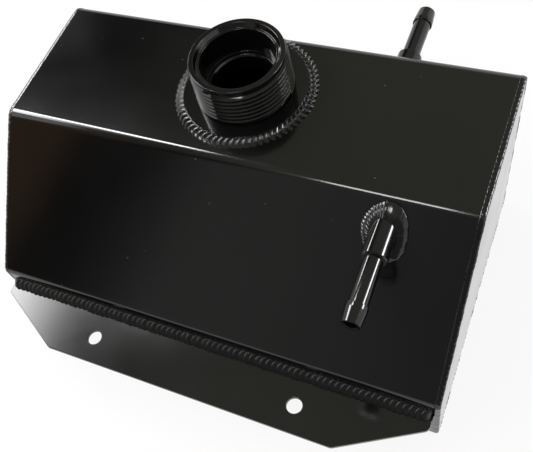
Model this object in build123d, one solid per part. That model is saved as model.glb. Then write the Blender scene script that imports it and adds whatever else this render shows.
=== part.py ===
from build123d import *
import math
import os

# Welded sheet-aluminium coolant expansion tank, in millimetres.
# X runs along the tank, Y to its back, Z up. The origin lies midway between
# the two mounting holes, on the underside of the mounting flange.

# Tank body
TANK_LENGTH = 280.0
BODY_DEPTH = 164.0
TOP_DEPTH = 91.5
TOP_HEIGHT = 88.0
BASE_DROP = 36.5
KNEE_HEIGHT = 15.5
SHEET = 3.0
BEND_RADIUS = 7.0

# Mounting flange
FLANGE_SHEET = 3.0
FLANGE_REACH = 34.0
FLANGE_NOSE = 183.0
FLANGE_SIDE = 8.5
FLANGE_END_GAP = 3.0
FLANGE_CORNER = 4.0
HOLE_SPACING = 131.0
HOLE_SETBACK = 15.0
HOLE_DIAMETER = 9.0

# Filler neck
NECK_OFFSET = -2.0
NECK_FROM_BACK = 44.0
NECK_HEIGHT = 27.5
NECK_FOOT_DIAMETER = 71.4
NECK_FOOT = 3.8
THREAD_DIAMETER = 52.3
NECK_BORE = 42.0
MOUTH_DIAMETER = 47.4
MOUTH_STEP = 2.6
MOUTH_BEVEL = 1.4
SEAT_DIAMETER = 35.0
SEAT_BEVEL = 1.0
SEAT_DEPTH = 19.0
SPIGOT_WALL = 3.0

# Hose fittings
FITTING_DIAMETER = 13.9
FITTING_BODY = 17.3
FITTING_CHAMFER = 0.7
SHANK_DIAMETER = 10.0
BARB_DIAMETER = 11.4
BARB_OUT = 42.8
TIP_OUT = 53.0
TIP_DIAMETER = 9.9
HOSE_BORE = 6.6
FITTING_INSIDE = 2.0
FRONT_FITTING_FROM_END = 45.2
FRONT_FITTING_DROP = 12.2
REAR_FITTING_FROM_END = 67.1
REAR_FITTING_DROP = 22.0

# Return outlet, low on the back
OUTLET_FROM_END = 55.0
OUTLET_HEIGHT = 24.0
OUTLET_DIAMETER = 17.0
OUTLET_BARB_DIAMETER = 19.6
OUTLET_BARB_OUT = 25.0
OUTLET_TIP_OUT = 32.0
OUTLET_TIP_DIAMETER = 16.6
OUTLET_BORE = 13.0

# Weld beads and their seats
WELD_PITCH = 3.5
WELD_DIP = 0.86
WELD_CREST_RUN = 0.72
WELD_SEAT = 0.1
CORNER_LAP = 1.5
CORNER_BEVEL = 1.2
ROOT_GAP = 0.3
FLANGE_WELD_LEG = 5.4
FLANGE_WELD_STOP = 1.0
NECK_WELD_WIDTH = 5.7
NECK_WELD_HEIGHT = 3.4
FITTING_WELD_WIDTH = 4.8
FITTING_WELD_HEIGHT = 4.6
FITTING_WELD_BROW = 1.6
HOLE_CLEARANCE = 0.1
BEAD_FULLNESS = 0.6

# Places worked out from the sizes above
wrap_half = TANK_LENGTH / 2 - SHEET
wall_y = FLANGE_REACH - HOLE_SETBACK
back_y = wall_y + BODY_DEPTH
base_z = -BASE_DROP
brow_y = back_y - TOP_DEPTH
slope = math.atan2(TOP_HEIGHT - KNEE_HEIGHT, BODY_DEPTH - TOP_DEPTH)
neck_y = back_y - NECK_FROM_BACK
neck_hole = SEAT_DIAMETER + 2 * (SPIGOT_WALL + HOLE_CLEARANCE)
front_fitting_x = TANK_LENGTH / 2 - FRONT_FITTING_FROM_END
front_fitting_z = TOP_HEIGHT - FRONT_FITTING_DROP
front_fitting_y = brow_y - FRONT_FITTING_DROP / math.tan(slope)
rear_fitting_x = TANK_LENGTH / 2 - REAR_FITTING_FROM_END
rear_fitting_z = TOP_HEIGHT - REAR_FITTING_DROP
outlet_x = OUTLET_FROM_END - TANK_LENGTH / 2
outlet_z = base_z + OUTLET_HEIGHT


def body_section(inset):
    """The tank's five-sided cross-section, drawn in by an even inset."""
    corners = [(back_y, base_z), (wall_y, base_z), (wall_y, KNEE_HEIGHT)]
    corners += [(brow_y, TOP_HEIGHT), (back_y, TOP_HEIGHT)]
    face = make_face(Polyline(*corners, close=True))
    seam = face.vertices().sort_by_distance((back_y, base_z, 0))[0]
    bends = [corner for corner in face.vertices() if corner != seam]
    rounded = fillet(bends, BEND_RADIUS)
    return Plane.YZ * (offset(rounded, -inset) if inset else rounded)


def along_back(profile, x, z):
    """Turns a profile of radius and distance about an axis along Y, through the given place."""
    return Pos(x, 0, z) * revolve(Plane.XY * profile, Axis.Y)


def body_wrap():
    """One sheet folded four times round the tank, with its open ends at the low back corner."""
    wrap = extrude(body_section(0) - body_section(SHEET), wrap_half, both=True)
    end = Box(2 * wrap_half, SHEET, CORNER_LAP, align=(Align.CENTER, Align.MAX, Align.MIN))
    slit = Box(2 * wrap_half, ROOT_GAP, SHEET, align=(Align.CENTER, Align.MAX, Align.MIN))
    wrap -= Pos(0, back_y, base_z) * end
    wrap -= Pos(0, back_y - SHEET, base_z) * slit
    wrap -= Pos(NECK_OFFSET, neck_y, TOP_HEIGHT) * Cylinder(neck_hole / 2, 2 * BEND_RADIUS)
    for x, y, z, size in fitting_holes():
        through = 2 * (size + SHEET)
        wrap -= Pos(x, y, z) * Rot(X=90) * Cylinder(size / 2 + HOLE_CLEARANCE, through)
    return wrap


def fitting_holes():
    """Where each hose connection passes through the sheet, and its diameter there."""
    return [
        (front_fitting_x, front_fitting_y, front_fitting_z, FITTING_DIAMETER),
        (rear_fitting_x, back_y, rear_fitting_z, FITTING_DIAMETER),
        (outlet_x, back_y, outlet_z, OUTLET_DIAMETER),
    ]


def end_plate(side):
    """A flat plate on the end of the wrap, lapping half of the sheet's edge."""
    return Pos(X=side * wrap_half) * extrude(body_section(CORNER_LAP), side * SHEET)


def end_weld(side):
    """The outside-corner bead that fills the notch round an end plate."""
    ring = extrude(body_section(0), side * SHEET)
    outer = ring.faces().sort_by(Axis.X)[-1 if side > 0 else 0]
    ring = chamfer(outer.edges(), CORNER_BEVEL)
    return Pos(X=side * wrap_half) * ring - end_plate(side)


def wrap_seam_weld():
    """The bead along the low back corner, where the wrap's two ends meet."""
    bead = Box(2 * wrap_half, SHEET + ROOT_GAP, CORNER_LAP, align=(Align.CENTER, Align.MAX, Align.MIN))
    edge = bead.edges().filter_by(Axis.X).sort_by(Axis.Z)[:2].sort_by(Axis.Y)[-1]
    return Pos(0, back_y, base_z) * chamfer(edge, CORNER_BEVEL)


def mounting_flange():
    """A flat plate welded across the front wall, with a cut-back nose and two bolt holes."""
    side = TANK_LENGTH / 2 - FLANGE_END_GAP
    nose = FLANGE_NOSE / 2
    front = wall_y - FLANGE_REACH
    shoulder = wall_y - FLANGE_SIDE
    half = [(nose, front), (side, shoulder), (side, wall_y)]
    plan = make_face(Polyline(*half, *[(-x, y) for x, y in reversed(half)], close=True))
    plan = fillet(plan.vertices().sort_by(Axis.Y)[:4], FLANGE_CORNER)
    plan -= GridLocations(HOLE_SPACING, 0, 2, 1) * Circle(HOLE_DIAMETER / 2)
    return extrude(plan, FLANGE_SHEET)


def filler_neck():
    """A turned neck with a weld foot, a land for its thread, a stepped mouth and a cap seat."""
    crest = THREAD_DIAMETER / 2
    foot = NECK_FOOT_DIAMETER / 2
    bore = NECK_BORE / 2
    seat = SEAT_DIAMETER / 2
    mouth = MOUTH_DIAMETER / 2
    spigot = seat + SPIGOT_WALL
    rim = NECK_HEIGHT
    points = [(seat, -SHEET), (spigot, -SHEET), (spigot, 0), (foot, 0)]
    points += [(foot, NECK_FOOT), (crest, NECK_FOOT), (crest, rim), (mouth, rim)]
    points += [(mouth - MOUTH_BEVEL, rim - MOUTH_STEP), (bore, rim - MOUTH_STEP)]
    points += [(bore, rim - SEAT_DEPTH), (seat + SEAT_BEVEL, rim - SEAT_DEPTH)]
    points += [(seat, rim - SEAT_DEPTH - SEAT_BEVEL)]
    profile = make_face(Polyline(*points, close=True))
    return Pos(NECK_OFFSET, neck_y, TOP_HEIGHT) * revolve(Plane.XZ * profile, Axis.Z)


def hose_fitting(wall, inner, facing):
    """A turned hose barb along Y: the body through the sheet, a shank, one barb and a bore."""
    body = FITTING_DIAMETER / 2
    shank = SHANK_DIAMETER / 2
    bore = HOSE_BORE / 2
    points = [(bore, inner), (body, inner), (body, wall + facing * (FITTING_BODY - FITTING_CHAMFER))]
    points += [(body - FITTING_CHAMFER, wall + facing * FITTING_BODY), (shank, wall + facing * FITTING_BODY)]
    points += [(shank, wall + facing * BARB_OUT), (BARB_DIAMETER / 2, wall + facing * BARB_OUT)]
    points += [(TIP_DIAMETER / 2, wall + facing * TIP_OUT), (bore, wall + facing * TIP_OUT)]
    return make_face(Polyline(*points, close=True))


def front_hose_fitting():
    """The barb that leaves the sloped front panel level, towards the front."""
    sheet_run = (FITTING_DIAMETER / 2 * math.cos(slope) + SHEET) / math.sin(slope)
    inner = front_fitting_y + sheet_run + FITTING_INSIDE
    return along_back(hose_fitting(front_fitting_y, inner, -1), front_fitting_x, front_fitting_z)


def rear_hose_fitting():
    """The same barb on the back wall, pointing to the back."""
    inner = back_y - SHEET - FITTING_INSIDE
    return along_back(hose_fitting(back_y, inner, 1), rear_fitting_x, rear_fitting_z)


def return_outlet():
    """The wider barbed outlet low on the back wall."""
    tube = OUTLET_DIAMETER / 2
    bore = OUTLET_BORE / 2
    inner = back_y - SHEET - FITTING_INSIDE
    points = [(bore, inner), (tube, inner), (tube, back_y + OUTLET_BARB_OUT)]
    points += [(OUTLET_BARB_DIAMETER / 2, back_y + OUTLET_BARB_OUT)]
    points += [(OUTLET_TIP_DIAMETER / 2, back_y + OUTLET_TIP_OUT), (bore, back_y + OUTLET_TIP_OUT)]
    return along_back(make_face(Polyline(*points, close=True)), outlet_x, outlet_z)


def bead_section(root, out, up, swell):
    """A fillet section with a low crown: its root corner and the toes along both walls."""
    corners = [out, BEAD_FULLNESS * (out + up), up]
    return Wire.make_polygon([root] + [root + swell * corner for corner in corners])


def rippled(station, first, last, ripples):
    """A bead laid ripple by ripple: each starts full and falls away to a dip."""
    wires = []
    step = (last - first) / ripples
    for ripple in range(ripples):
        start = first + ripple * step
        wires += [station(start, 1), station(start + WELD_CREST_RUN * step, WELD_DIP)]
    return Solid.make_loft(wires + [station(last, 1)], True)


def rippled_ring(station, length):
    """A rippled bead closed on itself, in two halves of a turn."""
    ripples = round(length / WELD_PITCH / 2)
    return rippled(station, 0, math.pi, ripples) + rippled(station, math.pi, 2 * math.pi, ripples)


def neck_weld():
    """The ring bead round the neck's foot."""
    radius = NECK_FOOT_DIAMETER / 2 + WELD_SEAT
    centre = Vector(NECK_OFFSET, neck_y, TOP_HEIGHT)

    def station(turn, swell):
        ray = Vector(math.cos(turn), math.sin(turn), 0)
        rise = Vector(0, 0, NECK_WELD_HEIGHT)
        return bead_section(centre + radius * ray, NECK_WELD_WIDTH * ray, rise, swell)

    return rippled_ring(station, 2 * math.pi * radius)


def flange_weld():
    """The fillet bead along the front wall, on top of the mounting flange."""
    reach = wrap_half - FLANGE_WELD_STOP

    def station(x, swell):
        root = Vector(x, wall_y, FLANGE_SHEET)
        return bead_section(root, Vector(0, -FLANGE_WELD_LEG, 0), Vector(0, 0, FLANGE_WELD_LEG), swell)

    return rippled(station, -reach, reach, round(2 * reach / WELD_PITCH))


def fitting_weld(x, y, z, size, lean, facing):
    """The scalloped mound of weld round a hose connection along Y, on a wall that leans back."""
    tube = size / 2
    ripples = round(2 * math.pi * (tube + FITTING_WELD_WIDTH) / WELD_PITCH)
    toe = []
    for half_ripple in range(2 * ripples):
        turn = math.pi * half_ripple / ripples
        width = FITTING_WELD_WIDTH * (WELD_DIP if half_ripple % 2 else 1)
        toe.append(((tube + width) * math.cos(turn), (tube / math.cos(lean) + width) * math.sin(turn)))
    brow = (tube + FITTING_WELD_BROW) / (tube + FITTING_WELD_WIDTH)
    rings = []
    for share, rise in [(1, 0), (brow, FITTING_WELD_HEIGHT)]:
        wall = Plane((x, y + facing * rise, z), (1, 0, 0), (0, -math.cos(lean), math.sin(lean)))
        rings.append(wall * make_face(Polyline(*[(share * u, share * v) for u, v in toe], close=True)))
    mound = loft(rings, ruled=True)
    return mound - Pos(x, y, z) * Rot(X=90) * Cylinder(tube + WELD_SEAT, 2 * BODY_DEPTH)


os.makedirs("parts", exist_ok=True)
front_hole, rear_hole, outlet_hole = fitting_holes()
nodes = {
    "body_wrap": body_wrap(),
    "left_end_plate": end_plate(-1),
    "right_end_plate": end_plate(1),
    "left_end_weld": end_weld(-1),
    "right_end_weld": end_weld(1),
    "wrap_seam_weld": wrap_seam_weld(),
    "mounting_flange": mounting_flange(),
    "flange_weld": flange_weld(),
    "filler_neck": filler_neck(),
    "neck_weld": neck_weld(),
    "front_hose_fitting": front_hose_fitting(),
    "front_fitting_weld": fitting_weld(*front_hole, math.pi / 2 - slope, -1),
    "rear_hose_fitting": rear_hose_fitting(),
    "rear_fitting_weld": fitting_weld(*rear_hole, 0, 1),
    "return_outlet": return_outlet(),
    "outlet_weld": fitting_weld(*outlet_hole, 0, 1),
}
for name, solid in nodes.items():
    export_step(solid, f"parts/{name}.step")
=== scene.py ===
import bisect
import math
import random

import bmesh
import bpy
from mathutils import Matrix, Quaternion, Vector


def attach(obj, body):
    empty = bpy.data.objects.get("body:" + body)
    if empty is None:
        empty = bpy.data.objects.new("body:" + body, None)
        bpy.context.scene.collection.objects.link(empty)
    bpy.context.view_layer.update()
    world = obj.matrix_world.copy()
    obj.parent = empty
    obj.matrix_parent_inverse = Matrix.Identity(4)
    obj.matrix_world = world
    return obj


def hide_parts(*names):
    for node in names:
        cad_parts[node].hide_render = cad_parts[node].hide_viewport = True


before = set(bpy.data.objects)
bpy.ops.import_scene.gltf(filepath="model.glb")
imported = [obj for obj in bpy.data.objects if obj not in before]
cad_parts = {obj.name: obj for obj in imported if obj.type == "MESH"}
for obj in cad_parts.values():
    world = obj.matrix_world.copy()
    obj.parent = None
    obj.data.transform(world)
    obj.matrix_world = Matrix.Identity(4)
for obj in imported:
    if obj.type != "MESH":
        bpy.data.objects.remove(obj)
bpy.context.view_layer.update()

# Body sheet: one 3 mm aluminium sheet folded four times round the tank, with
# the front panel sloped back at 45 degrees. The whole tank is coated in a
# smooth black gloss after welding, so every piece carries the same coat.
COAT_BLACK = (0.003, 0.003, 0.003, 1)
COAT_LIFTED = (0.0046, 0.0046, 0.0045, 1)
COAT_IOR = 1.5
CLOUDS_PER_METRE = 22
CLOUD_DETAIL = 4
CLOUD_LOW = 0.3
CLOUD_HIGH = 0.7
DUST_GREY = (0.16, 0.155, 0.15, 1)
DUST_CELLS_PER_METRE = 190
DUST_RADIUS = 0.055
DUSTLESS_SHARE = 0.84
PEEL_DETAIL = 2
PEEL_STRENGTH = 0.5
FLAT_FACE_WEIGHT = 100


def black_coat(name, roughness, unevenness, peel_size, peel_height):
    """Black gloss coat: cloudy tone, uneven gloss, faint orange peel and a few dust specks."""
    material = bpy.data.materials.new(name)
    material.use_nodes = True
    nodes = material.node_tree.nodes
    link = material.node_tree.links.new
    shader = nodes["Principled BSDF"]
    shader.inputs["IOR"].default_value = COAT_IOR
    place = nodes.new("ShaderNodeTexCoord").outputs["Object"]

    cloud = nodes.new("ShaderNodeTexNoise")
    cloud.inputs["Scale"].default_value = CLOUDS_PER_METRE
    cloud.inputs["Detail"].default_value = CLOUD_DETAIL
    link(place, cloud.inputs["Vector"])
    tone = nodes.new("ShaderNodeMix")
    tone.data_type = "RGBA"
    tone.inputs["A"].default_value = COAT_BLACK
    tone.inputs["B"].default_value = COAT_LIFTED
    link(cloud.outputs["Fac"], tone.inputs["Factor"])

    cells = nodes.new("ShaderNodeTexVoronoi")
    cells.inputs["Scale"].default_value = DUST_CELLS_PER_METRE
    link(place, cells.inputs["Vector"])
    dot = nodes.new("ShaderNodeMath")
    dot.operation = "LESS_THAN"
    dot.inputs[1].default_value = DUST_RADIUS
    link(cells.outputs["Distance"], dot.inputs[0])
    dusty = nodes.new("ShaderNodeMath")
    dusty.operation = "GREATER_THAN"
    dusty.inputs[1].default_value = DUSTLESS_SHARE
    link(cells.outputs["Color"], dusty.inputs[0])
    speck = nodes.new("ShaderNodeMath")
    speck.operation = "MULTIPLY"
    link(dot.outputs[0], speck.inputs[0])
    link(dusty.outputs[0], speck.inputs[1])
    dusted = nodes.new("ShaderNodeMix")
    dusted.data_type = "RGBA"
    dusted.inputs["B"].default_value = DUST_GREY
    link(speck.outputs[0], dusted.inputs["Factor"])
    link(tone.outputs["Result"], dusted.inputs["A"])
    link(dusted.outputs["Result"], shader.inputs["Base Color"])

    gloss = nodes.new("ShaderNodeMapRange")
    gloss.inputs["From Min"].default_value = CLOUD_LOW
    gloss.inputs["From Max"].default_value = CLOUD_HIGH
    gloss.inputs["To Min"].default_value = roughness - unevenness
    gloss.inputs["To Max"].default_value = roughness + unevenness
    link(cloud.outputs["Fac"], gloss.inputs["Value"])
    link(gloss.outputs["Result"], shader.inputs["Roughness"])

    peel = nodes.new("ShaderNodeTexNoise")
    peel.inputs["Scale"].default_value = 1 / peel_size
    peel.inputs["Detail"].default_value = PEEL_DETAIL
    link(place, peel.inputs["Vector"])
    bump = nodes.new("ShaderNodeBump")
    bump.inputs["Strength"].default_value = PEEL_STRENGTH
    bump.inputs["Distance"].default_value = peel_height
    link(peel.outputs["Fac"], bump.inputs["Height"])
    link(bump.outputs["Normal"], shader.inputs["Normal"])
    return material


def even_normals(piece):
    """Shades a piece smoothly, with its flat faces kept flat."""
    piece.data.shade_smooth()
    piece.modifiers.new("even_normals", "WEIGHTED_NORMAL").weight = FLAT_FACE_WEIGHT


def finish_node(name, material):
    """Gives a solid of the frame its coat and clean shading."""
    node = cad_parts[name]
    node.data.materials.clear()
    node.data.materials.append(material)
    even_normals(node)


sheet_coat = black_coat("coat_on_sheet", roughness=0.115, unevenness=0.02,
                        peel_size=0.0011, peel_height=0.000006)
finish_node("body_wrap", sheet_coat)

# End plates: flat 3 mm aluminium plates cut to the wrap's outline, lapped over
# its edges and welded all round from the outside.
for end in ("left_end_plate", "right_end_plate"):
    finish_node(end, sheet_coat)

# End beads: fine fusion beads along the outside corner between the wrap and
# each end plate, laid by hand, so they show as a row of small overlapping dots.
HALF_LENGTH = 0.140
SHEET = 0.003
BACK_Y = 0.183
WALL_Y = 0.019
BASE_Z = -0.0365
TOP_Z = 0.088
KNEE_Z = 0.0155
BROW_Y = 0.0915
BEND_RADIUS = 0.007
BEND_PARTS = 12
SEAM_RADIUS = 0.0015
END_TOE_SIDE = 0.0017
END_TOE_FACE = 0.0031
END_CROWN = 0.0001
END_PITCH = 0.003
END_DIP = 0.06
END_FULLNESS = 0.8
END_SEED = 11
BEAD_FULLNESS = 0.6
BEAD_UNEVENNESS = 0.05
RIPPLE_ACROSS = 10
RIPPLE_RISE = 0.25
RIPPLE_FALL = 1.5
RIPPLE_BOW = 0.6
RIPPLE_STEPS = 8
weld_coat = black_coat("coat_on_weld", roughness=0.15, unevenness=0.03,
                       peel_size=0.0006, peel_height=0.000012)


def section_line():
    """The wrap's outline as places, outward directions and distances along it."""
    corners = [(BACK_Y, BASE_Z, SEAM_RADIUS), (WALL_Y, BASE_Z, BEND_RADIUS),
               (WALL_Y, KNEE_Z, BEND_RADIUS), (BROW_Y, TOP_Z, BEND_RADIUS),
               (BACK_Y, TOP_Z, BEND_RADIUS)]
    line = []
    for n, (y, z, radius) in enumerate(corners):
        corner = Vector((0, y, z))
        before = (Vector((0, *corners[n - 1][:2])) - corner).normalized()
        after = (Vector((0, *corners[(n + 1) % len(corners)][:2])) - corner).normalized()
        half = before.angle(after) / 2
        centre = corner + (before + after).normalized() * radius / math.sin(half)
        start = (corner + before * radius / math.tan(half) - centre).normalized()
        finish = (corner + after * radius / math.tan(half) - centre).normalized()
        for part in range(BEND_PARTS + 1):
            outward = start.slerp(finish, part / BEND_PARTS)
            line.append((centre + outward * radius, outward))
    line.append(line[0])
    distances = [0.0]
    for (a, _), (b, _) in zip(line, line[1:]):
        distances.append(distances[-1] + (b - a).length)
    return line, distances


def along_section(line, distances, distance):
    """The place and outward direction at a distance along the outline."""
    n = min(max(bisect.bisect_right(distances, distance), 1), len(distances) - 1)
    span = distances[n] - distances[n - 1]
    share = (distance - distances[n - 1]) / span if span else 0
    place = line[n - 1][0].lerp(line[n][0], share)
    return place, line[n - 1][1].lerp(line[n][1], share).normalized()


def skin(work, rows, closed):
    """Covers rows of points, each row a loop, with faces; an open run of rows gets its two ends."""
    around = len(rows[0])
    pairs = list(zip(rows, rows[1:])) + ([(rows[-1], rows[0])] if closed else [])
    for first, second in pairs:
        for n in range(around):
            m = (n + 1) % around
            work.faces.new((first[n], first[m], second[m], second[n]))
    if not closed:
        work.faces.new(rows[0])
        work.faces.new(rows[-1])
    bmesh.ops.recalc_face_normals(work, faces=work.faces)


def to_piece(name, work):
    """Turns finished mesh work into an object in the frame."""
    mesh = bpy.data.meshes.new(name)
    work.to_mesh(mesh)
    work.free()
    mesh.shade_smooth()
    piece = bpy.data.objects.new(name, mesh)
    bpy.context.scene.collection.objects.link(piece)
    return piece


def ripple_drop(share):
    """How far a crescent has dropped, 0 at its crest and 1 at its edge, at a share of the pitch."""
    if share < RIPPLE_RISE:
        return 1 - share / RIPPLE_RISE
    return ((share - RIPPLE_RISE) / (1 - RIPPLE_RISE)) ** RIPPLE_FALL


def lay_bead(name, place, length, closed, pitch, dip, seed,
             fullness=BEAD_FULLNESS, unevenness=BEAD_UNEVENNESS, calm=None):
    """A weld bead of overlapping crescents. place gives its root and both toes at a distance along it."""
    draw = random.Random(seed)
    ripples = round(length / pitch)
    step = length / ripples
    sizes = [1 + draw.uniform(-unevenness, unevenness) for _ in range(ripples)]
    crown = 4 * fullness - 1
    bead = bmesh.new()
    rows = []
    for row in range(ripples * RIPPLE_STEPS + (0 if closed else 1)):
        ripple, part = divmod(row, RIPPLE_STEPS)
        share = part / RIPPLE_STEPS
        along = (ripple + share) * step
        depth = dip * calm(along) if calm else dip
        size = sizes[ripple % ripples] * (1 - share) + sizes[(ripple + 1) % ripples] * share
        swell = size * (1 - depth * ripple_drop(share))
        verts = []
        for across in range(RIPPLE_ACROSS + 1):
            t = across / RIPPLE_ACROSS
            distance = along - RIPPLE_BOW * math.sin(math.pi * t) * step
            distance = distance % length if closed else min(max(distance, 0), length)
            root, out, up = place(distance)
            both = crown * t * (1 - t)
            reach = ((1 - t) ** 2 + both) * out + (t ** 2 + both) * up
            verts.append(bead.verts.new(root + swell * reach))
        verts.append(bead.verts.new(place(along)[0]))
        rows.append(verts)
    skin(bead, rows, closed)
    return to_piece(name, bead)


def stand_for(piece, material, slot, *nodes):
    """Coats a piece and lets it stand for solids of the frame."""
    piece.data.materials.append(material)
    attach(piece, "root")
    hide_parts(*nodes)


outline, outline_distances = section_line()


def end_corner(side):
    """Root and toes of the bead round one end, -1 for the left and 1 for the right."""
    outward_x = Vector((side, 0, 0))

    def corner(distance):
        place, outward = along_section(outline, outline_distances, distance)
        root = place - outward * END_TOE_SIDE + outward_x * (HALF_LENGTH - END_TOE_FACE)
        return root, outward * (END_TOE_SIDE + END_CROWN), outward_x * (END_TOE_FACE + END_CROWN)

    return corner


for side, name in ((-1, "left"), (1, "right")):
    bead = lay_bead(f"{name}_end_bead", end_corner(side), outline_distances[-1], True,
                    END_PITCH, END_DIP, END_SEED + side, END_FULLNESS)
    stand_for(bead, weld_coat, "coated_weld", f"{name}_end_weld")

# Seam bead: closes the folded sheet along the low back corner, out of sight
# under the tank, with the same small ripples as the end beads.
SEAM_TOE = 0.0033
SEAM_SEED = 5


def seam_corner(distance):
    """Root and toes of the seam's bead at a distance from its left end."""
    root = Vector((distance - HALF_LENGTH + SHEET, BACK_Y - SEAM_TOE, BASE_Z + SEAM_TOE / 2))
    return root, Vector((0, SEAM_TOE + END_CROWN / 2, 0)), Vector((0, 0, -SEAM_TOE / 2 - END_CROWN))


seam_bead = lay_bead("seam_bead", seam_corner, 2 * (HALF_LENGTH - SHEET), False,
                     END_PITCH, END_DIP, SEAM_SEED, END_FULLNESS)
stand_for(seam_bead, weld_coat, "coated_weld", "wrap_seam_weld")

# Mounting flange: a flat plate cut from 3 mm sheet, with a cut-back nose, two
# drilled bolt holes and lightly broken edges, welded across the front wall.
FLANGE_FRONT = -0.015
FLANGE_NOSE = 0.0915
FLANGE_SIDE = 0.137
FLANGE_SHOULDER = 0.0105
FLANGE_CORNER = 0.004
FLANGE_CORNER_PARTS = 10
FLANGE_EDGE = 0.0004
FLANGE_EDGE_PARTS = 2
HOLE_X = 0.0655
HOLE_RADIUS = 0.0045
HOLE_PARTS = 48
SAME_PLACE = 1e-6


def rounded_line(corners, radii, parts):
    """A closed flat outline, with each corner that has a radius turned into an arc."""
    points = []
    for n, corner in enumerate(corners):
        here = Vector(corner)
        before = (Vector(corners[n - 1]) - here).normalized()
        after = (Vector(corners[(n + 1) % len(corners)]) - here).normalized()
        if not radii[n]:
            points.append(here)
            continue
        half = before.angle(after) / 2
        centre = here + (before + after).normalized() * radii[n] / math.sin(half)
        start = here + before * radii[n] / math.tan(half) - centre
        finish = here + after * radii[n] / math.tan(half) - centre
        turn = start.angle_signed(finish)
        for part in range(parts + 1):
            a = -turn * part / parts
            points.append(centre + Vector((start.x * math.cos(a) - start.y * math.sin(a),
                                           start.x * math.sin(a) + start.y * math.cos(a))))
    return points


def flat_plate(name, loops, thickness, edge):
    """A plate cut from sheet: outer and hole outlines, with broken edges."""
    curve = bpy.data.curves.new(name, "CURVE")
    curve.dimensions = "2D"
    curve.fill_mode = "BOTH"
    curve.extrude = thickness / 2 - edge
    curve.bevel_depth = edge
    curve.bevel_resolution = FLANGE_EDGE_PARTS
    curve.offset = -edge
    for loop in loops:
        spline = curve.splines.new("POLY")
        spline.points.add(len(loop) - 1)
        for point, place in zip(spline.points, loop):
            point.co = (place[0], place[1], 0, 1)
        spline.use_cyclic_u = True
    drawn = bpy.data.objects.new(name + "_drawing", curve)
    bpy.context.scene.collection.objects.link(drawn)
    bpy.context.view_layer.update()
    depsgraph = bpy.context.evaluated_depsgraph_get()
    mesh = bpy.data.meshes.new_from_object(drawn.evaluated_get(depsgraph))
    bpy.data.objects.remove(drawn)
    work = bmesh.new()
    work.from_mesh(mesh)
    bpy.data.meshes.remove(mesh)
    bmesh.ops.remove_doubles(work, verts=work.verts, dist=SAME_PLACE)
    bmesh.ops.translate(work, verts=work.verts, vec=(0, 0, thickness / 2))
    bmesh.ops.recalc_face_normals(work, faces=work.faces)
    piece = to_piece(name, work)
    even_normals(piece)
    return piece


def hole_line(x):
    """A bolt hole's outline."""
    angles = [math.tau * n / HOLE_PARTS for n in range(HOLE_PARTS)]
    return [(x + HOLE_RADIUS * math.cos(a), HOLE_RADIUS * math.sin(a)) for a in angles]


flange_corners = [(-FLANGE_SIDE, WALL_Y), (-FLANGE_SIDE, FLANGE_SHOULDER), (-FLANGE_NOSE, FLANGE_FRONT),
                  (FLANGE_NOSE, FLANGE_FRONT), (FLANGE_SIDE, FLANGE_SHOULDER), (FLANGE_SIDE, WALL_Y)]
flange_radii = [0, FLANGE_CORNER, FLANGE_CORNER, FLANGE_CORNER, FLANGE_CORNER, 0]
flange_line = rounded_line(flange_corners, flange_radii, FLANGE_CORNER_PARTS)
flange = flat_plate("mounting_flange_plate", [flange_line, hole_line(-HOLE_X), hole_line(HOLE_X)],
                    SHEET, FLANGE_EDGE)
stand_for(flange, sheet_coat, "coated_sheet", "mounting_flange")

# Flange bead: a heavy fillet weld along the front wall on top of the flange,
# laid from the right in overlapping crescents that stand out under the coat.
FLANGE_LEG_OUT = 0.0056
FLANGE_LEG_UP = 0.0054
FLANGE_BEAD_HALF = 0.1362
FLANGE_PITCH = 0.0034
FLANGE_DIP = 0.13
FLANGE_UNEVENNESS = 0.07
FLANGE_SEED = 21
BEAD_SINK = 0.0004
BEAD_END = 0.004
BEAD_END_SIZE = 0.55
heavy_weld_coat = black_coat("coat_on_heavy_weld", roughness=0.34, unevenness=0.05,
                             peel_size=0.0006, peel_height=0.000016)


def flange_corner(distance):
    """Root and toes of the flange's bead at a distance from its left end; both ends taper."""
    x = distance - FLANGE_BEAD_HALF
    full = min(1, (FLANGE_BEAD_HALF - abs(x)) / BEAD_END)
    size = BEAD_END_SIZE + (1 - BEAD_END_SIZE) * math.sqrt(max(0, 1 - (1 - full) ** 2))
    root = Vector((x, WALL_Y + BEAD_SINK, SHEET - BEAD_SINK))
    out = Vector((0, -(FLANGE_LEG_OUT + BEAD_SINK) * size, 0))
    up = Vector((0, 0, (FLANGE_LEG_UP + BEAD_SINK) * size))
    return root, out, up


flange_bead = lay_bead("flange_bead", flange_corner, 2 * FLANGE_BEAD_HALF, False,
                       FLANGE_PITCH, FLANGE_DIP, FLANGE_SEED, unevenness=FLANGE_UNEVENNESS)
stand_for(flange_bead, heavy_weld_coat, "coated_weld", "flange_weld")

# Filler neck: turned from solid aluminium, with a flat weld foot, a cap thread
# cut on the outside, a plain rim, a stepped mouth and a bevelled seat inside.
NECK_X = -0.002
NECK_Y = 0.139
NECK_SEGMENTS = 144
FOOT_RADIUS = 0.0357
FOOT_HEIGHT = 0.0027
CREST_RADIUS = 0.0272
THREAD_DEPTH = 0.0015
THREAD_SPREAD = 0.0006
RIM_HEIGHT = 0.0275
RIM_BAND = 0.003
RIM_RADIUS = 0.0263
MOUTH_RADIUS = 0.0237
MOUTH_STEP = 0.0026
LEDGE_RADIUS = 0.0223
BORE_RADIUS = 0.021
SEAT_RADIUS = 0.0175
SEAT_BEVEL = 0.001
SEAT_DEPTH = 0.019
SPIGOT_RADIUS = 0.0205
TURNED_EDGE = 0.00025
TURNED_EDGE_PARTS = 3
turned_coat = black_coat("coat_on_turned_metal", roughness=0.09, unevenness=0.015,
                         peel_size=0.0009, peel_height=0.000008)


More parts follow.
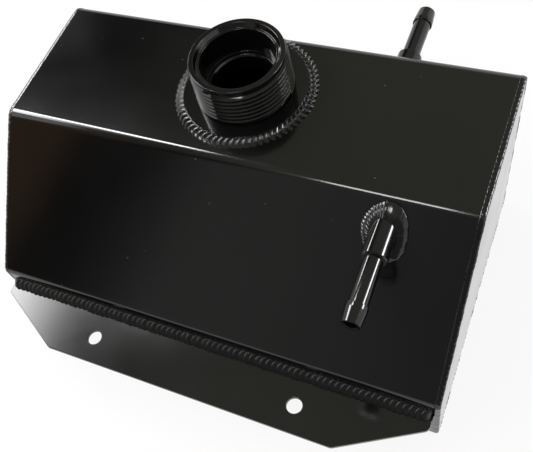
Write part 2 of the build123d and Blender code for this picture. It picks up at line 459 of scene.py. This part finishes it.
def turned(profile, edge, segments):
    """Mesh work turned about Z from a closed profile of radius and height, with its edges broken."""
    line = rounded_line(profile, [edge] * len(profile), TURNED_EDGE_PARTS)
    work = bmesh.new()
    rings = []
    for n in range(segments):
        a = math.tau * n / segments
        rings.append([work.verts.new((p.x * math.cos(a), p.x * math.sin(a), p.y)) for p in line])
    skin(work, rings, True)
    return work


neck_centre = Vector((NECK_X, NECK_Y, TOP_Z))
root_radius = CREST_RADIUS - THREAD_DEPTH
band_z = RIM_HEIGHT - RIM_BAND
ledge_z = RIM_HEIGHT - MOUTH_STEP
seat_z = RIM_HEIGHT - SEAT_DEPTH
neck_profile = [
    (SEAT_RADIUS, -SHEET), (SPIGOT_RADIUS, -SHEET), (SPIGOT_RADIUS, 0),
    (FOOT_RADIUS, 0), (FOOT_RADIUS, FOOT_HEIGHT),
    (root_radius + THREAD_SPREAD, FOOT_HEIGHT), (root_radius, band_z - THREAD_DEPTH / 2),
    (RIM_RADIUS, band_z), (RIM_RADIUS, RIM_HEIGHT), (MOUTH_RADIUS, RIM_HEIGHT),
    (LEDGE_RADIUS, ledge_z), (BORE_RADIUS, ledge_z), (BORE_RADIUS, seat_z),
    (SEAT_RADIUS + SEAT_BEVEL, seat_z), (SEAT_RADIUS, seat_z - SEAT_BEVEL),
]
neck_work = turned(neck_profile, TURNED_EDGE, NECK_SEGMENTS)
bmesh.ops.translate(neck_work, verts=neck_work.verts, vec=neck_centre)
neck = to_piece("filler_neck_turning", neck_work)
even_normals(neck)
stand_for(neck, turned_coat, "coated_turned_metal", "filler_neck")

# Neck thread: the one ridge that the lathe leaves, wound round the neck from
# the foot to the rim band, with a flat crest to take the cap. Its shape is
# given as shares of the pitch and of the depth.
THREAD_TURNS = 7.7
RIDGE_SHAPE = [(-0.5, -0.06), (-0.47, 0.02), (-0.21, 0.94), (-0.14, 1),
               (0.14, 1), (0.21, 0.94), (0.47, 0.02), (0.5, -0.06)]
thread_pitch = (band_z - FOOT_HEIGHT) / THREAD_TURNS
thread_work = bmesh.new()
ridge_rows = []
for n in range(round(THREAD_TURNS * NECK_SEGMENTS) + 1):
    turn = n / NECK_SEGMENTS
    a = math.tau * turn
    foot_radius = root_radius + THREAD_SPREAD * (1 - turn / THREAD_TURNS)
    row = []
    for offset, height in RIDGE_SHAPE:
        r = foot_radius + THREAD_DEPTH * height
        z = FOOT_HEIGHT + (turn + offset) * thread_pitch
        row.append(thread_work.verts.new(neck_centre + Vector((r * math.cos(a), r * math.sin(a), z))))
    ridge_rows.append(row)
skin(thread_work, ridge_rows, False)
thread = to_piece("filler_neck_thread", thread_work)
even_normals(thread)
thread.data.materials.append(turned_coat)
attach(thread, "root")

# Neck bead: a full ring of weld round the neck's foot, the neatest of the
# welds, with about seventy even crescents.
NECK_BEAD_WIDTH = 0.0058
NECK_BEAD_HEIGHT = 0.0028
NECK_PITCH = 0.00325
NECK_DIP = 0.3
NECK_UNEVENNESS = 0.04
NECK_SEED = 31


def neck_corner(distance):
    """Root and toes of the neck's bead at a distance round the foot."""
    a = distance / FOOT_RADIUS
    ray = Vector((math.cos(a), math.sin(a), 0))
    root = neck_centre + ray * (FOOT_RADIUS - BEAD_SINK) + Vector((0, 0, -BEAD_SINK))
    return root, ray * (NECK_BEAD_WIDTH + BEAD_SINK), Vector((0, 0, NECK_BEAD_HEIGHT + BEAD_SINK))


neck_bead = lay_bead("neck_bead", neck_corner, math.tau * FOOT_RADIUS, True,
                     NECK_PITCH, NECK_DIP, NECK_SEED, unevenness=NECK_UNEVENNESS)
stand_for(neck_bead, weld_coat, "coated_weld", "neck_weld")

# Hose fittings: small turned barbs, one level out of the sloped front panel
# and one out of the back, each a body, a slimmer shank and a single barb.
FITTING_RADIUS = 0.00695
FITTING_BODY = 0.0173
FITTING_CHAMFER = 0.0007
SHANK_RADIUS = 0.005
BARB_RADIUS = 0.0057
BARB_OUT = 0.0428
BARB_LAND = 0.0024
TIP_OUT = 0.053
TIP_RADIUS = 0.00495
HOSE_BORE = 0.0033
FITTING_SEGMENTS = 72
FITTING_EDGE = 0.00012
FRONT_FITTING = Vector((0.0948, 0.0793, 0.0758))
FRONT_INSIDE = 0.01319
REAR_FITTING = Vector((0.0729, BACK_Y, 0.066))
REAR_INSIDE = 0.005


def out_of_wall(name, profile, place, facing):
    """A turned piece laid along Y from a wall, facing the front (-1) or the back (1)."""
    work = turned(profile, FITTING_EDGE, FITTING_SEGMENTS)
    for vert in work.verts:
        x, y, z = vert.co
        vert.co = place + Vector((x, facing * z, -facing * y))
    piece = to_piece(name, work)
    even_normals(piece)
    return piece


for name, place, facing, inside in (("front", FRONT_FITTING, -1, FRONT_INSIDE),
                                    ("rear", REAR_FITTING, 1, REAR_INSIDE)):
    profile = [
        (HOSE_BORE, -inside), (FITTING_RADIUS, -inside),
        (FITTING_RADIUS, FITTING_BODY - FITTING_CHAMFER), (FITTING_RADIUS - FITTING_CHAMFER, FITTING_BODY),
        (SHANK_RADIUS, FITTING_BODY), (SHANK_RADIUS, BARB_OUT),
        (BARB_RADIUS, BARB_OUT), (BARB_RADIUS, BARB_OUT + BARB_LAND),
        (TIP_RADIUS, TIP_OUT), (HOSE_BORE, TIP_OUT),
    ]
    fitting = out_of_wall(f"{name}_hose_barb", profile, place, facing)
    stand_for(fitting, turned_coat, "coated_turned_metal", f"{name}_hose_fitting")

# Return outlet: the wider barbed tube low on the back, a plain turned piece
# that gives the coolant back to the engine.
OUTLET = Vector((-0.085, BACK_Y, -0.0125))
OUTLET_RADIUS = 0.0085
OUTLET_BORE = 0.0065
OUTLET_INSIDE = 0.005
OUTLET_BARB_OUT = 0.025
OUTLET_BARB_RADIUS = 0.0098
OUTLET_BARB_LAND = 0.0014
OUTLET_TIP_OUT = 0.032
OUTLET_TIP_RADIUS = 0.0083
outlet_profile = [
    (OUTLET_BORE, -OUTLET_INSIDE), (OUTLET_RADIUS, -OUTLET_INSIDE),
    (OUTLET_RADIUS, OUTLET_BARB_OUT), (OUTLET_BARB_RADIUS, OUTLET_BARB_OUT),
    (OUTLET_BARB_RADIUS, OUTLET_BARB_OUT + OUTLET_BARB_LAND),
    (OUTLET_TIP_RADIUS, OUTLET_TIP_OUT), (OUTLET_BORE, OUTLET_TIP_OUT),
]
outlet = out_of_wall("return_outlet_tube", outlet_profile, OUTLET, 1)
stand_for(outlet, turned_coat, "coated_turned_metal", "return_outlet")

# Fitting beads: thick, hand-built mounds of weld round each tube. The one on
# the sloped panel is long, finely rippled on its left and smeared to the lower
# right. Lumps are an angle and a spread in degrees, and a share of extra size.
FITTING_BEAD_WIDTH = 0.005
FITTING_BEAD_HEIGHT = 0.0048
FITTING_FULLNESS = 0.66
FITTING_DIP = 0.12
FITTING_SEED = 41
PANEL_LEAN = math.pi / 4
FRONT_BEAD_PITCH = 0.001
BACK_BEAD_PITCH = 0.0022
CALM_LEAST = 0.12
CALM_SPREAD = 0.6
FRONT_LUMPS = [(313, 30, 0.42), (168, 18, 0.15), (70, 26, 0.16)]
REAR_LUMPS = [(40, 40, 0.1), (200, 30, 0.08)]
OUTLET_LUMPS = [(120, 40, 0.08), (290, 30, 0.1)]


def tube_corner(place, radius, lean, facing, lumps):
    """Root and toes of a bead round a tube along Y, on a wall that leans back."""
    along = 1 / math.cos(lean)
    slope_up = Vector((0, math.sin(lean) * -facing, math.cos(lean)))
    across = Vector((1, 0, 0))

    def corner(distance):
        a = distance / radius
        ray = across * math.cos(a) + slope_up * along * math.sin(a)
        outward = (across * math.cos(a) * along + slope_up * math.sin(a)).normalized()
        lump = 1
        for angle, spread, extra in lumps:
            apart = (math.degrees(a) - angle + 180) % 360 - 180
            lump += extra * math.exp(-(apart / spread) ** 2)
        root = place + ray * (radius - BEAD_SINK)
        out = outward * (FITTING_BEAD_WIDTH * lump + BEAD_SINK)
        return root, out, Vector((0, facing * FITTING_BEAD_HEIGHT * lump, 0))

    return corner


def rippled_on_left(distance):
    """Full ripples on the left of the front tube, next to none on its right."""
    leftness = max(0, -math.cos(distance / FITTING_RADIUS))
    return CALM_LEAST + (1 - CALM_LEAST) * leftness ** CALM_SPREAD


fitting_beads = (
    ("front_fitting", FRONT_FITTING, FITTING_RADIUS, PANEL_LEAN, -1, FRONT_LUMPS,
     FRONT_BEAD_PITCH, rippled_on_left),
    ("rear_fitting", REAR_FITTING, FITTING_RADIUS, 0, 1, REAR_LUMPS, BACK_BEAD_PITCH, None),
    ("outlet", OUTLET, OUTLET_RADIUS, 0, 1, OUTLET_LUMPS, BACK_BEAD_PITCH, None),
)
for n, (name, place, radius, lean, facing, lumps, pitch, calm) in enumerate(fitting_beads):
    corner = tube_corner(place, radius, lean, facing, lumps)
    bead = lay_bead(f"{name}_bead", corner, math.tau * radius, True,
                    pitch, FITTING_DIP, FITTING_SEED + n, FITTING_FULLNESS, calm=calm)
    stand_for(bead, weld_coat, "coated_weld", f"{name}_weld")

# Room and floor: a white room with a pale matt floor just under the tank. Both
# look white to the lens and in the gloss; the floor keeps the tank's shadow.
FLOOR_SIZE = 8.0
FLOOR_GAP = 0.0003
FLOOR_WHITE = (0.95, 0.95, 0.95, 1)
FLOOR_GLOW = 0.9
ROOM_WHITE = (1, 1, 1, 1)
ROOM_LIGHT = 0.6


def white_to_lens(nodes, link):
    """1 for rays from the lens and for mirrored and refracted rays, else 0."""
    path = nodes.new("ShaderNodeLightPath")
    total = path.outputs["Is Camera Ray"]
    for ray in ("Is Glossy Ray", "Is Transmission Ray"):
        either = nodes.new("ShaderNodeMath")
        either.operation = "MAXIMUM"
        link(total, either.inputs[0])
        link(path.outputs[ray], either.inputs[1])
        total = either.outputs[0]
    return total


def studio_plane(name, centre, normal, width, height, material, roll=0):
    """A flat studio surface that faces along a direction."""
    turn = Vector(normal).to_track_quat("Z", "Y") @ Quaternion((0, 0, 1), math.radians(roll))
    corners = [(-width / 2, -height / 2, 0), (width / 2, -height / 2, 0),
               (width / 2, height / 2, 0), (-width / 2, height / 2, 0)]
    mesh = bpy.data.meshes.new(name)
    mesh.from_pydata([Vector(centre) + turn @ Vector(c) for c in corners], [], [(0, 1, 2, 3)])
    mesh.materials.append(material)
    plane = bpy.data.objects.new(name, mesh)
    bpy.context.scene.collection.objects.link(plane)
    return plane


room = bpy.data.worlds.new("studio_room")
room.use_nodes = True
bpy.context.scene.world = room
room_nodes = room.node_tree.nodes
room_link = room.node_tree.links.new
room_level = room_nodes.new("ShaderNodeMapRange")
room_level.inputs["To Min"].default_value = ROOM_LIGHT
room_level.inputs["To Max"].default_value = 1
room_link(white_to_lens(room_nodes, room_link), room_level.inputs["Value"])
room_nodes["Background"].inputs["Color"].default_value = ROOM_WHITE
room_link(room_level.outputs["Result"], room_nodes["Background"].inputs["Strength"])

floor_white = bpy.data.materials.new("studio_floor")
floor_white.use_nodes = True
floor_nodes = floor_white.node_tree.nodes
floor_link = floor_white.node_tree.links.new
floor_paint = floor_nodes["Principled BSDF"]
floor_paint.inputs["Base Color"].default_value = FLOOR_WHITE
floor_paint.inputs["Roughness"].default_value = 1
floor_paint.inputs["Specular IOR Level"].default_value = 0
floor_glow = floor_nodes.new("ShaderNodeEmission")
floor_share = floor_nodes.new("ShaderNodeMath")
floor_share.operation = "MULTIPLY"
floor_share.inputs[1].default_value = FLOOR_GLOW
floor_link(white_to_lens(floor_nodes, floor_link), floor_share.inputs[0])
floor_mix = floor_nodes.new("ShaderNodeMixShader")
floor_link(floor_share.outputs[0], floor_mix.inputs["Fac"])
floor_link(floor_paint.outputs[0], floor_mix.inputs[1])
floor_link(floor_glow.outputs[0], floor_mix.inputs[2])
floor_link(floor_mix.outputs[0], floor_nodes["Material Output"].inputs["Surface"])
studio_plane("studio_floor", (0, 0.08, BASE_Z - FLOOR_GAP), (0, 0, 1), FLOOR_SIZE, FLOOR_SIZE, floor_white)


# Cards: a dim ceiling, a card in front and a bright one high on the left, which
# only the gloss mirrors. Each glows in steps of colour at places along X.
def grey(level):
    """A neutral colour."""
    return level, level, level


CEILING_STOPS = [(-2.4, grey(0.04)), (-2.1, grey(0.0)), (-1.65, (0.1, 0.1, 0.09)),
                 (-0.8, (0.36, 0.36, 0.3)), (0.3, (0.42, 0.41, 0.36))]
FRONT_STOPS = [(-1.4, (0.27, 0.16, 0.08)), (-1.26, (0.25, 0.14, 0.07)), (-1.19, grey(0.0)),
               (-1.0, grey(0.02)), (-0.86, grey(0.14)), (-0.72, (0.35, 0.35, 0.34)),
               (-0.4, (0.34, 0.34, 0.33)), (0.05, grey(0.2))]
LEFT_STOPS = [(-1.1, grey(20)), (-0.94, grey(20)), (-0.894, grey(18)), (-0.872, grey(13)),
              (-0.85, grey(7.5)), (-0.826, grey(5)), (-0.802, grey(1.9)), (-0.777, grey(0.9)),
              (-0.68, grey(0.2))]


def graded_glow(name, stops):
    """An even glow, graded along X through the colours given at places."""
    material = bpy.data.materials.new(name)
    material.use_nodes = True
    nodes = material.node_tree.nodes
    link = material.node_tree.links.new
    nodes.remove(nodes["Principled BSDF"])
    glow = nodes.new("ShaderNodeEmission")
    place = nodes.new("ShaderNodeSeparateXYZ")
    link(nodes.new("ShaderNodeNewGeometry").outputs["Position"], place.inputs[0])
    first, last = stops[0][0], stops[-1][0]
    along = nodes.new("ShaderNodeMapRange")
    along.inputs["From Min"].default_value = first
    along.inputs["From Max"].default_value = last
    link(place.outputs["X"], along.inputs["Value"])
    grade = nodes.new("ShaderNodeValToRGB")
    steps = grade.color_ramp.elements
    for n, (x, colour) in enumerate(stops):
        share = (x - first) / (last - first)
        step = steps[n] if n < 2 else steps.new(share)
        step.position = share
        step.color = (*colour, 1)
    link(along.outputs["Result"], grade.inputs["Fac"])
    link(grade.outputs["Color"], glow.inputs["Color"])
    link(glow.outputs[0], nodes["Material Output"].inputs["Surface"])
    return material


def mirrored_only(thing):
    """Keeps a card or lamp out of the picture and off the floor: it shows in the gloss alone."""
    thing.visible_camera = False
    thing.visible_diffuse = False
    thing.visible_shadow = False
    thing.visible_transmission = False
    thing.visible_volume_scatter = False


mirrored_only(studio_plane("ceiling_card", centre=(-1.0, 1.5, 2.4), normal=(0, 0, -1),
                           width=7.0, height=6.0, material=graded_glow("ceiling_grey", CEILING_STOPS)))
mirrored_only(studio_plane("front_card", centre=(0.2, -1.3, 1.15), normal=(0, 1, 0),
                           width=4.4, height=2.5, material=graded_glow("front_grey", FRONT_STOPS)))
mirrored_only(studio_plane("left_card", centre=(-0.9, 0.228, 1.028), normal=(-0.682, 0.158, 0.714),
                           width=0.58, height=0.3, material=graded_glow("left_glow", LEFT_STOPS), roll=-72))

# Soft boxes: one broad fill that lights the floor, and small bright ones round
# the tank that draw the lines of light along its bends, tubes and beads.
TANK_MIDDLE = Vector((0, 0.08, 0.04))
BEND_LEFT = Vector((-0.08, 0.09, 0.087))
BEND_FAR_LEFT = Vector((-0.095, 0.09, 0.088))
FRONT_TUBE = Vector((0.09, 0.05, 0.076))


def soft_box(name, shape, aim, azimuth, elevation, distance, width, height, level, roll=0):
    """A soft box aimed at a place: azimuth from +X towards +Y, level as its even brightness."""
    a, e = math.radians(azimuth), math.radians(elevation)
    away = Vector((math.cos(e) * math.cos(a), math.cos(e) * math.sin(a), math.sin(e)))
    area = width * height * (1 if shape == "RECTANGLE" else math.pi / 4)
    lamp = bpy.data.lights.new(name, "AREA")
    lamp.shape = shape
    lamp.size = width
    lamp.size_y = height
    lamp.energy = 4 * level * area
    box = bpy.data.objects.new(name, lamp)
    box.location = aim + away * distance
    box.rotation_mode = "QUATERNION"
    box.rotation_quaternion = away.to_track_quat("Z", "Y") @ Quaternion((0, 0, 1), math.radians(roll))
    bpy.context.scene.collection.objects.link(box)
    box.visible_camera = False
    return box


left_fill = soft_box("left_fill", "RECTANGLE", TANK_MIDDLE, azimuth=184, elevation=50, distance=1.5,
                     width=1.8, height=1.0, level=3.0)
left_fill.visible_glossy = False
mirrored_only(soft_box("left_box", "ELLIPSE", BEND_LEFT, azimuth=155.7, elevation=46.9, distance=1.5,
                       width=0.88, height=0.26, level=24, roll=-58.3))
mirrored_only(soft_box("left_wall", "DISK", BEND_LEFT, azimuth=191.8, elevation=32.1, distance=1.5,
                       width=1.15, height=1.15, level=1.4))
mirrored_only(soft_box("left_back_box", "RECTANGLE", FRONT_TUBE, azimuth=147, elevation=22, distance=1.4,
                       width=0.34, height=0.2, level=14))
mirrored_only(soft_box("right_box", "RECTANGLE", FRONT_TUBE, azimuth=30, elevation=21, distance=1.2,
                       width=0.6, height=0.26, level=20))
mirrored_only(soft_box("overhead_box", "RECTANGLE", BEND_FAR_LEFT, azimuth=-90, elevation=77, distance=1.0,
                       width=0.25, height=0.2, level=12))

# Camera: where the photograph was taken from, high over the tank's front
# right, with the lens shifted to the same framing in a 533 by 452 picture.
CAMERA_PLACE = (0.15897, -0.09245, 0.38922)
CAMERA_TURN = (30.4752, 11.3882, 22.3804)
CAMERA_LENS = 49.01
CAMERA_SENSOR = 36
CAMERA_SHIFT = (0.0377, 0.0178)
CAMERA_NEAR = 0.01
camera = bpy.data.objects.new("camera", bpy.data.cameras.new("camera"))
camera.data.sensor_width = CAMERA_SENSOR
camera.data.lens = CAMERA_LENS
camera.data.shift_x, camera.data.shift_y = CAMERA_SHIFT
camera.data.clip_start = CAMERA_NEAR
camera.location = CAMERA_PLACE
camera.rotation_euler = [math.radians(angle) for angle in CAMERA_TURN]
bpy.context.scene.collection.objects.link(camera)
bpy.context.scene.camera = camera
bpy.context.scene.view_settings.view_transform = "Standard"
